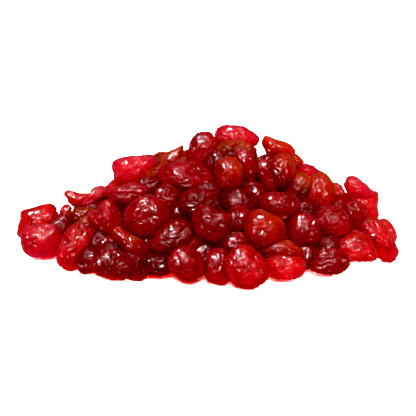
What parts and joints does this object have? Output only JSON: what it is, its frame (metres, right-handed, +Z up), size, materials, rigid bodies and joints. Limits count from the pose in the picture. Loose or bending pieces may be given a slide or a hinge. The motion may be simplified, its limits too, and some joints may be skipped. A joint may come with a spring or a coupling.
{
  "type": "heap of dried cherries",
  "caption": "Loose low heap of glossy pitted dried cherries, lying as poured on a flat surface, one solid with a flat underside.",
  "frame": {"origin": "on the surface the heap lies on, under the middle of its footprint", "axes": "+X along the heap's long side, +Y away from the side with the steeper front, +Z up"},
  "size_m": [0.1529, 0.119, 0.051],
  "materials": {
    "dried_cherry": "moist glossy wrinkled fruit skin"
  },
  "bodies": {
    "root": {"cherry_heap": "dried_cherry"}
  },
  "joints": []
}
